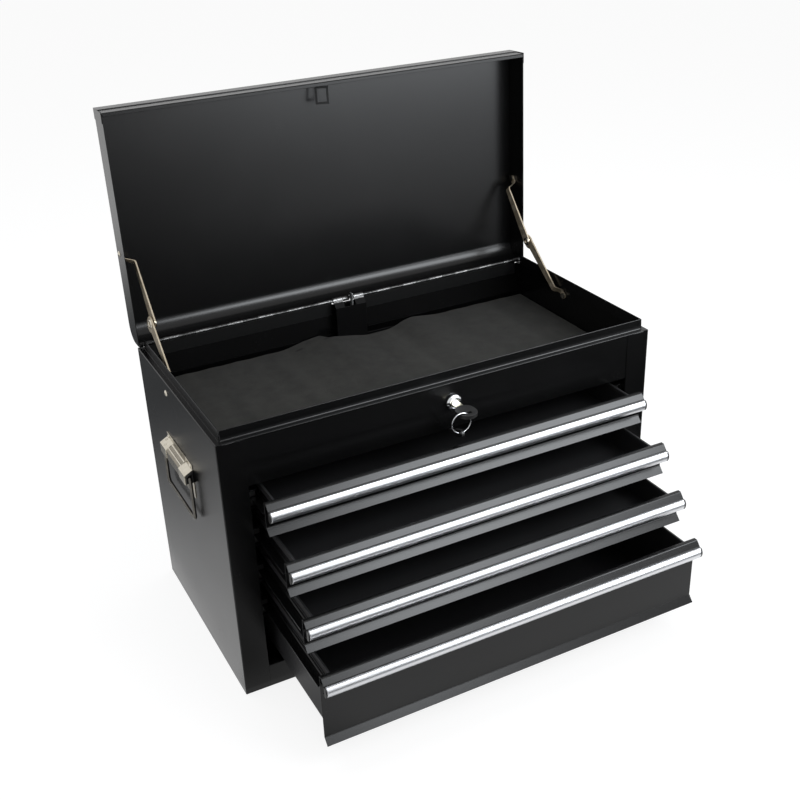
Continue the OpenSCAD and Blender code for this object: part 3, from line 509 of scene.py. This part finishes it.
# %% Hinge finish
HINGE_Y = 0.1505
HINGE_Z = 0.362
KNUCKLE = 0.0042
KNUCKLE_FADE = 0.0008
EAR = 0.0055
BRIGHT_HALF = 0.272
BRIGHT_FADE = 0.004
LEAF_PAINT = (0.0032, 0.0032, 0.0034)
COVER_SHINE = 0.1
SCUFFS = 500.0
SCUFF_DEPTH = 0.00001


def hinge_finish(name, bright_reach, dark, light, shine=COAT_SHINE):
    material, place = new_finish(name)
    out = place.part(1) - HINGE_Y
    up = place.part(2) - HINGE_Z
    reach = (out * out + up * up).root()
    inward = 1.0 - abs(place.part(0)).between(BRIGHT_HALF, BRIGHT_HALF + BRIGHT_FADE)
    bright = (1.0 - reach.between(bright_reach, bright_reach + KNUCKLE_FADE)) * inward
    scuff = place.noise(SCUFFS, 3.0)
    worn = scuff.between(0.3, 0.7).blend((dark,) * 3, (light,) * 3)
    inputs = {"Base Color": bright.blend(LEAF_PAINT, worn), "Metallic": bright,
              "Roughness": 0.34 + 0.08 * scuff, "Specular IOR Level": shine}
    close_finish(place, inputs, scuff, SCUFF_DEPTH)
    return material


lid_hinge = hinge_finish("lid_hinge_leaf", KNUCKLE, 0.05, 0.20)
case_hinge = hinge_finish("case_hinge_leaf", KNUCKLE, 0.02, 0.08)
hung_cover = hinge_finish("hung_cover", EAR, 0.10, 0.30, COVER_SHINE)
print(lid_hinge.name, case_hinge.name, hung_cover.name)

# %% [markdown]
# Dressing the frame. Each node names a material slot in the record, so the finishes go on by slot.
# Some nodes have a finish of their own, such as the hinge and what hangs on it, the bails, the
# brackets, the key and the loop on the lid. The drawer boxes get the paler coat of painted light.

# %% Finishes on the nodes
FINISHES = {
    **plates, "black_paint": paint, "nylon": nylon, "black_plastic": plastic, "brushed_trim": trim,
}
OWN_FINISHES = {
    "casing_leaf": case_hinge, "lid_leaf": lid_hinge, "hinge_pin": case_hinge,
    "bar_cover": hung_cover, "striker": dipped, "till_floor": till_painted_shade,
    "handle_brackets": bracket, "key_blade": plates["key_blank"],
    "bail_left": plates["bail_wire"], "bail_right": plates["bail_wire"],
}
slots = {item["node"]: item["material_slot"] for item in frame["record"]["subparts"]}


def finish_of(node):
    # The drawer boxes take the paler coat, whose lighter colour is painted light.
    if node.endswith("_box"):
        return inside_painted_light
    return OWN_FINISHES.get(node) or FINISHES.get(slots[node], paint)


for node, piece in nodes.items():
    for seat in piece.material_slots:
        seat.material = finish_of(node)
print("finishes on", len(nodes), "nodes")

# %% [markdown]
# Folded edges. Sheet metal never has a razor edge: a bend has a radius of about a millimetre, and a
# cut edge is just broken. Both catch the light. Geometry nodes join the corners that the CAD file
# splits and give each sharp edge a weight, full where both of its faces are wider than a sheet is
# thick. Small holes in the sheets have short edges, which get none.

# %% Edge weights
SHARP = math.radians(30.0)
THIN = 0.0012
CUT_SHARE = 0.35
JOIN_WITHIN = 0.00001
SHEET_SHORTEST = 0.0025


def weighted_edges(name, shortest):
    tree = bpy.data.node_groups.new(name, "GeometryNodeTree")
    for way in ("INPUT", "OUTPUT"):
        tree.interface.new_socket("Geometry", in_out=way, socket_type="NodeSocketGeometry")
    start = Wire(tree.nodes.new("NodeGroupInput").outputs[0])
    joining = {"Geometry": start, "Distance": JOIN_WITHIN}
    joined = start.node("GeometryNodeMergeByDistance", None, joining)
    angle = start.node("GeometryNodeInputMeshEdgeAngle")
    steep = {"A": angle, "B": SHARP}
    sharp = start.node("FunctionNodeCompare", {"operation": "GREATER_THAN"}, steep)
    ends = [start.node("GeometryNodeInputMeshEdgeVertices", output=end) for end in (2, 3)]
    apart = {"operation": "DISTANCE"}
    length = start.node("ShaderNodeVectorMath", apart, dict(enumerate(ends)), output=1)
    area = start.node("GeometryNodeInputMeshFaceArea")
    fold = sharp
    for side in (0, 1):
        corner = start.node("GeometryNodeCornersOfEdge", None, {"Sort Index": side})
        face = start.node("GeometryNodeFaceOfCorner", None, {"Corner Index": corner})
        beside = {"Value": area, "Index": face}
        size = start.node("GeometryNodeFieldAtIndex", {"domain": "FACE"}, beside)
        fold = fold * size.over(length * THIN)
    weight = (fold * (1.0 - CUT_SHARE) + CUT_SHARE) * sharp * length.over(shortest)
    shading = {"Mesh": joined, "Remove Custom": True, "Edge Sharpness": sharp,
               "Face Sharpness": False}
    shaded = start.node("GeometryNodeSetMeshNormal", {"mode": "SHARPNESS"}, shading)
    kept = {"domain": "EDGE", "data_type": "FLOAT"}
    noted = {"Geometry": shaded, "Name": "bevel_weight_edge", "Value": weight}
    stored = start.node("GeometryNodeStoreNamedAttribute", kept, noted)
    start.node("NodeGroupOutput", None, {0: stored})
    return tree


all_edges = weighted_edges("weighted_edges", 0.0)
sheet_edges = weighted_edges("sheet_edges", SHEET_SHORTEST)
print(all_edges.name, sheet_edges.name)

# %% [markdown]
# A bevel then rounds the edges by their weight. Wire that is round already gets none. A last step
# weighs the shading by the size of the faces, which keeps wide panels flat beside their round
# bends. All of it is in modifiers, so the frame's own meshes stay as they are.

# %% Rounded edges
PLAIN_WIDTH = 0.0012
WIDTHS = {
    "drawer": 0.0010, "bail": 0.0, "key_ring": 0.0, "handle_bushes": 0.0010, "key_head": 0.0014,
    "lock_barrel": 0.0014, "slide": 0.0008, "hinge_pin": 0.0008,
}
BEVEL_STEPS = 2
PANEL_WEIGHT = 100


def edge_width(node):
    for start, width in WIDTHS.items():
        if node.startswith(start):
            return width
    return PLAIN_WIDTH


for node, piece in nodes.items():
    weighing = piece.modifiers.new("weighted edges", "NODES")
    is_sheet = slots[node] == "black_paint" or node == "handle_brackets"
    weighing.node_group = sheet_edges if is_sheet else all_edges
    width = edge_width(node)
    if width:
        bevel = piece.modifiers.new("rounded edges", "BEVEL")
        bevel.width = width
        bevel.segments = BEVEL_STEPS
        bevel.limit_method = "WEIGHT"
        bevel.use_clamp_overlap = True
    shading = piece.modifiers.new("flat panels", "WEIGHTED_NORMAL")
    shading.mode = "FACE_AREA"
    shading.weight = PANEL_WEIGHT
    shading.keep_sharp = True
print("edges rounded on", len(nodes), "nodes")

# %% [markdown]
# The lid stays. Each is a pair of blades, cranked out at its end, wider towards the middle pivot
# and a little twisted, as pressed strip comes out. CAD has them flat and plain, so they are drawn
# again here. First come the places of the pivots, and the outline of a blade along its length.

# %% Blade outline
HINGE_AT = Vector((0.0, HINGE_Y, HINGE_Z))
LOW_PIVOT = HINGE_AT + Vector((0.0, -0.1155, -0.0210))
MID_PIVOT = HINGE_AT + Vector((0.0, -0.038153, 0.041924))
HIGH_PIVOT = HINGE_AT + Vector((0.0, 0.025122, 0.118983))
FRONT_EDGE = (0.0042, 0.0026)
REAR_EDGE = (0.0040, 0.0042)
END_ROUND = 0.0046
EYE_BACK = 0.0030
EYE_STEEP = 3.0


def round_at(s, middle, radius):
    return math.sqrt(max(radius ** 2 - (s - middle) ** 2, 0.0))


def blade_edges(s, length, eye):
    """How far the front and the rear edge lie from the line between the pivots."""
    share = min(max(s / length, 0.0), 1.0)
    front, rear = (plain + wider * share for plain, wider in (FRONT_EDGE, REAR_EDGE))
    if s < 0.0:
        return (round_at(s, 0.0, END_ROUND),) * 2
    ear = round_at(s, length, eye)
    if s > length:
        fall = ear / eye
        return front * fall, max(rear * fall, (EYE_BACK + ear) * min(1.0, EYE_STEEP * fall))
    return front, max(rear, EYE_BACK + ear if ear else 0.0)


for end in (LOW_PIVOT, HIGH_PIVOT):
    print("stay link of", round((MID_PIVOT - end).length, 4), "m")

# %% [markdown]
# A blade is a row of stations along that outline. Each station is a ring of four points, at the
# front and the rear edge on both faces, and turns a little further than the one before it. Faces
# between the rings close the strip, which rides on its link and stands for it.

# %% Stay blades
import bmesh

SIDES = {"left": -1.0, "right": 1.0}
TWISTS = {"left": math.radians(6.0), "right": math.radians(2.0)}
BLADES = {
    "stay_lower": {"end": LOW_PIVOT, "x_end": 0.2975, "x_mid": 0.2874, "eye": 0.0100},
    "stay_upper": {"end": HIGH_PIVOT, "x_end": 0.2975, "x_mid": 0.2836, "eye": 0.0045},
}
BLADE_THICK = 0.002
BLADE_BREAK = 0.0004
BLADE_SHARP = math.radians(40.0)
NARROWEST = 0.0002
CRANK = (0.007, 0.015)
STATIONS = 48


def smooth(t):
    t = min(max(t, 0.0), 1.0)
    return t * t * (3.0 - 2.0 * t)


def made_piece(name, shape, *materials):
    """Turns a drawn shape into a piece of the scene."""
    bmesh.ops.recalc_face_normals(shape, faces=shape.faces)
    mesh = bpy.data.meshes.new(name)
    shape.to_mesh(mesh)
    shape.free()
    for material in materials:
        mesh.materials.append(material)
    piece = bpy.data.objects.new(name, mesh)
    scene.collection.objects.link(piece)
    return piece


def blade_ways(end, sign, twist):
    """The directions along a blade, across it and out of its face."""
    along = (MID_PIVOT - end).normalized()
    front_way = Vector((0.0, -abs(along.z), abs(along.y)))
    across = front_way * math.cos(twist) + Vector((-sign * math.sin(twist), 0.0, 0.0))
    face = Vector((sign * math.cos(twist), 0.0, 0.0)) + front_way * math.sin(twist)
    return along, across, face


def blade_piece(name, end, x_end, x_mid, eye, sign, twist):
    length = (MID_PIVOT - end).length
    shape = bmesh.new()
    rings = []
    for i in range(STATIONS + 1):
        share = 0.5 - 0.5 * math.cos(math.pi * i / STATIONS)
        s = -END_ROUND + (length + END_ROUND + eye) * share
        front, rear = blade_edges(s, length, eye)
        x = x_end + (x_mid - x_end) * smooth((s - CRANK[0]) / (CRANK[1] - CRANK[0]))
        along, across, face = blade_ways(end, sign, twist * smooth(s / length))
        spine = end + along * s + Vector((sign * x, 0.0, 0.0))
        fore = spine + across * max(front, NARROWEST)
        back = spine - across * max(rear, NARROWEST)
        half = face * (BLADE_THICK / 2)
        ring = (fore + half, back + half, back - half, fore - half)
        rings.append([shape.verts.new(point) for point in ring])
    for a, b in zip(rings, rings[1:]):
        for k in range(4):
            n = (k + 1) % 4
            shape.faces.new((a[k], a[n], b[n], b[k]))
    shape.faces.new(rings[0])
    shape.faces.new(rings[-1])
    piece = made_piece(name, shape, plates["stay_plate"])
    bevel = piece.modifiers.new("rounded edges", "BEVEL")
    bevel.width = BLADE_BREAK
    bevel.segments = BEVEL_STEPS
    bevel.angle_limit = BLADE_SHARP
    bevel.harden_normals = True
    return piece


for side, sign in SIDES.items():
    for stem, blade in BLADES.items():
        body = f"{stem}_{side}"
        piece = blade_piece(f"{body}_blade", sign=sign, twist=TWISTS[side], **blade)
        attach(piece, body)
        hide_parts(body)
print("four stay blades")

# %% [markdown]
# The middle pivot of a stay is a tubular rivet: a tube whose rims are rolled over both faces, with
# a dark bore. A ring profile turned about the pivot gives it, one for each visible face.

# %% Tubular rivets
RIVET_PROFILE = ((0.0030, -0.0004), (0.0028, 0.0010), (0.0038, 0.0016),
                 (0.0054, 0.0013), (0.0062, 0.0002), (0.0062, -0.0004))
RIVET_STEPS = 32
RIVET_FACES = {"stay_lower": 1.0, "stay_upper": -1.0}


def turned_ring(name, profile, at, axis, up, material):
    """A profile of radius and height, turned about an axis."""
    other = axis.cross(up)
    shape = bmesh.new()
    rings = []
    for i in range(RIVET_STEPS):
        a = 2 * math.pi * i / RIVET_STEPS
        out = up * math.cos(a) + other * math.sin(a)
        rings.append([shape.verts.new(at + out * r + axis * h) for r, h in profile])
    for i in range(RIVET_STEPS):
        a, b = rings[i], rings[(i + 1) % RIVET_STEPS]
        for k in range(len(profile)):
            n = (k + 1) % len(profile)
            shape.faces.new((a[k], a[n], b[n], b[k]))
    piece = made_piece(name, shape, material)
    piece.data.shade_smooth()
    return piece


nickel = plates["bright_nickel"]
for side, sign in SIDES.items():
    for stem, outward in RIVET_FACES.items():
        body, blade = f"{stem}_{side}", BLADES[stem]
        along, _, face = blade_ways(blade["end"], sign, TWISTS[side])
        middle = MID_PIVOT + Vector((sign * blade["x_mid"], 0.0, 0.0))
        at = middle + face * (outward * BLADE_THICK / 2)
        ring = turned_ring(f"{body}_rivet", RIVET_PROFILE, at, face * outward, along, nickel)
        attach(ring, body)
print("four rivet rims")

# %% [markdown]
# The handle brackets. The press leaves two beads along the sloping top, which stiffen it, and two
# dimples in the far sleeve, where it is staked to the strip. Each bead is a straight rod with an
# oval section, sunk halfway into the slope.

# %% Bracket beads
SLOPE_IN = (0.3012, 0.2700)
SLOPE_OUT = (0.3112, 0.2640)
BEAD_SHARES = (0.12, 0.62)
BEAD_REACH = Vector((0.0, 0.0265, 0.0))
BEAD_WIDE = 0.0011
BEAD_HIGH = 0.0007
DIMPLES = ((0.28, 0.0440), (0.72, 0.0360))
DIMPLE_PROFILE = ((0.0010, -0.0003), (0.0010, 0.0002), (0.0018, 0.0004), (0.0023, -0.0003))
SLEEVE_RISE = 0.0008
ROD_STEPS = 12


def flat_rod(name, start, end, wide, high, material):
    """A straight rod with an oval section, given by its two half axes."""
    shape = bmesh.new()
    turns = [2 * math.pi * i / ROD_STEPS for i in range(ROD_STEPS)]
    rings = []
    for at in (start, end):
        oval = (at + wide * math.cos(a) + high * math.sin(a) for a in turns)
        rings.append([shape.verts.new(point) for point in oval])
    for i in range(ROD_STEPS):
        j = (i + 1) % ROD_STEPS
        shape.faces.new((rings[0][i], rings[0][j], rings[1][j], rings[1][i]))
    for ring in rings:
        shape.faces.new(ring)
    return made_piece(name, shape, material)


for side, sign in SIDES.items():
    inner, outer = (Vector((sign * x, BRACKET_MID, z)) for x, z in (SLOPE_IN, SLOPE_OUT))
    slope = (outer - inner).normalized()
    rise = Vector((sign * abs(slope.z), 0.0, abs(slope.x)))
    wide, high = slope * BEAD_WIDE, rise * BEAD_HIGH
    pieces = []
    for n, share in enumerate(BEAD_SHARES, 1):
        middle = inner.lerp(outer, share)
        near, far = middle - BEAD_REACH, middle + BEAD_REACH
        pieces.append(flat_rod(f"bracket_bead_{side}_{n}", near, far, wide, high, nickel))
    for n, (share, y) in enumerate(DIMPLES, 1):
        at = inner.lerp(outer, share) + rise * SLEEVE_RISE + Vector((0.0, y, 0.0))
        name = f"sleeve_dimple_{side}_{n}"
        pieces.append(turned_ring(name, DIMPLE_PROFILE, at, rise, slope, bracket))
    for piece in pieces:
        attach(piece, "casing")
print("beads and dimples on both brackets")

# %% [markdown]
# The hinge stops short of the corners. A painted stub at each end closes the gap between lid and
# casing, where the bright background would show through.

# %% Hinge ends
STUB_X = (0.2815, 0.2980)
STUB_ROUND = 0.0036

for side, sign in SIDES.items():
    near, far = (HINGE_AT + Vector((sign * x, 0.0, 0.0)) for x in STUB_X)
    up, out = Vector((0.0, 0.0, STUB_ROUND)), Vector((0.0, STUB_ROUND, 0.0))
    stub = flat_rod(f"hinge_end_{side}", near, far, out, up, paint)
    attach(stub, "casing")
print("two hinge ends")

# %% [markdown]
# The foam mat. It lies loose in the till, cut a little small, and its rear edge is cut back around
# the cover and has lifted in two waves. A plain box would be stiff, and a simulated cloth would
# fall flat, so the sheet is drawn as a fine grid. These functions give its rear edge, its height
# with the waves and the shallow rolls from being stored rolled up, and its rounded edges.

# %% Mat form
MAT_FLOOR = 0.3003
MAT_THICK = 0.004
MAT_HALF = 0.298
MAT_FRONT = -0.151
MAT_REAR = 0.151
MAT_ROUND = 0.0014
NOTCH_REAR = 0.1375
NOTCH_MID = 0.0055
NOTCH_HALF = 0.0375
NOTCH_STEP = 0.012
NOTCH_FADE = 0.075
WAVES = ((-0.037, 0.075, 0.010), (0.105, 0.045, 0.005))
ROLL_HIGH = 0.0006
ROLL_PITCH = 0.0068
ROLL_WANDER = 0.8
ROLL_WANDER_RATE = 31.0
ROLL_LEAN = 0.5


def mat_rear(x):
    away = x - NOTCH_MID
    near = smooth((abs(away) - NOTCH_HALF) / (NOTCH_FADE if away > 0.0 else NOTCH_STEP))
    return NOTCH_REAR + (MAT_REAR - NOTCH_REAR) * near


def mat_lift(x, depth):
    """The sheet's height over the floor. The depth is 0 at the front and 1 at the rear."""
    lift = 0.0
    for mid, half, rise in WAVES:
        if abs(x - mid) < half:
            lift += rise * math.cos(math.pi / 2 * (x - mid) / half) ** 2 * depth ** 2
    wander = ROLL_WANDER * math.sin(x * ROLL_WANDER_RATE)
    roll = 0.5 + 0.5 * math.sin(x / ROLL_PITCH + wander + ROLL_LEAN * depth)
    return lift + ROLL_HIGH * roll * (0.5 + 0.5 * depth)


def edge_drop(away):
    """How far the rounded edge lies below the sheet's face, at a distance from the cut."""
    if away >= MAT_ROUND:
        return 0.0
    return MAT_ROUND - math.sqrt(MAT_ROUND ** 2 - (MAT_ROUND - away) ** 2)


print("mat from", MAT_FRONT, "to", round(mat_rear(MAT_HALF), 4), "m")

# %% [markdown]
# The grid has an upper and a lower face, with its lines close together at the cut edges, where the
# rounding needs them. A band of faces around the rim joins the two.

# %% Mat shape
COLUMNS, ROWS = 180, 90
RIM_STEPS = (0.0, 0.1, 0.4, 1.0)


def spread(count, length):
    """Grid steps along a side, close together at both ends."""
    close = [share * MAT_ROUND for share in RIM_STEPS]
    steps = [close[-1] + (length - 2 * close[-1]) * i / count for i in range(count + 1)]
    return close[:-1] + steps + [length - c for c in reversed(close[:-1])]


def mat_face(shape, side):
    """The points of the upper face, side 1, or the lower one, side -1, with their faces."""
    rows = []
    for u in spread(COLUMNS, 2 * MAT_HALF):
        x = u - MAT_HALF
        length = mat_rear(x) - MAT_FRONT
        row = []
        for v in spread(ROWS, length):
            drop = max(edge_drop(min(u, 2 * MAT_HALF - u)), edge_drop(min(v, length - v)))
            face = MAT_FLOOR + mat_lift(x, v / length) + (MAT_THICK if side > 0 else 0.0)
            row.append(shape.verts.new((x, MAT_FRONT + v, face - side * drop)))
        rows.append(row)
    for a, b in zip(rows, rows[1:]):
        for i in range(len(a) - 1):
            ring = (a[i], b[i], b[i + 1], a[i + 1])
            shape.faces.new(ring if side > 0 else ring[::-1])
    return rows


def rim(rows):
    """The points around the edge of a face, in order."""
    front, rear = [row[0] for row in rows], [row[-1] for row in rows]
    return front + rows[-1][1:] + rear[-2::-1] + rows[0][-2:0:-1]


def foam_sheet():
    shape = bmesh.new()
    upper, lower = (rim(mat_face(shape, side)) for side in (1, -1))
    for i in range(len(upper)):
        j = (i + 1) % len(upper)
        shape.faces.new((upper[i], lower[i], lower[j], upper[j]))
    piece = made_piece("foam_mat", shape)
    piece.data.shade_smooth()
    return piece


mat = foam_sheet()
print("mat with", len(mat.data.vertices), "points")

# %% [markdown]
# Foam up close is a skin of tiny closed cells. Cells from a Voronoi texture give the pitted bump,
# and a soft noise the grey bloom that dust leaves. Three small dents near the rear edge, where
# tools were dropped on it, have no hollow in the mesh: dark spots of painted shade stand in for
# them. The finish is fully rough, with a little sheen where light grazes it.

# %% Mat finish
MAT_DARK = (0.0165, 0.0162, 0.0146)
MAT_LIGHT = (0.034, 0.0332, 0.0300)
CELLS = 900.0
DUST = (55.0, 6.0, 0.7)
BANDS = (26.0, 2.0, 1.0)
MAT_PITS = 0.0002
DENTS = ((-0.0808, 0.1332), (-0.0347, 0.1363), (-0.0068, 0.1474))
DENT_LONG = 0.0055
DENT_DEEP = 0.0022
DENT_PAINTED_SHADE = (0.004, 0.004, 0.0036)
DENT_SHARE = 0.75


def foam_finish():
    material, place = new_finish("foam_mat")
    cells = place.node("ShaderNodeTexVoronoi", None, {"Vector": place, "Scale": CELLS})
    dust = place.noise(*DUST)
    bands = place.stretched(*BANDS).noise(1.0, 2.0)
    bloom = (dust * 0.6 + bands * 0.4).between(0.3, 0.7).blend(MAT_DARK, MAT_LIGHT)
    # Dark spots at the three dents: painted shade in place of hollows in the mesh.
    dent_painted_shade = 0.0
    for x, y in DENTS:
        along = (place.part(0) - x) * (1.0 / DENT_LONG)
        across = (place.part(1) - y) * (1.0 / DENT_DEEP)
        dent_painted_shade = dent_painted_shade + (1.0 - (along * along + across * across).between(0.3, 1.6 + dust))
    inputs = {"Base Color": (DENT_SHARE * dent_painted_shade).blend(bloom, DENT_PAINTED_SHADE),
              "Roughness": 0.88 + 0.1 * dust, "Specular IOR Level": 0.25,
              "Sheen Weight": 0.06, "Sheen Roughness": 0.5}
    close_finish(place, inputs, cells + dust, MAT_PITS)
    return material


mat.data.materials.append(foam_finish())
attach(mat, "casing")
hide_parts("till_mat")
print("mat rides the casing")

# %% Sizes and finish
import json
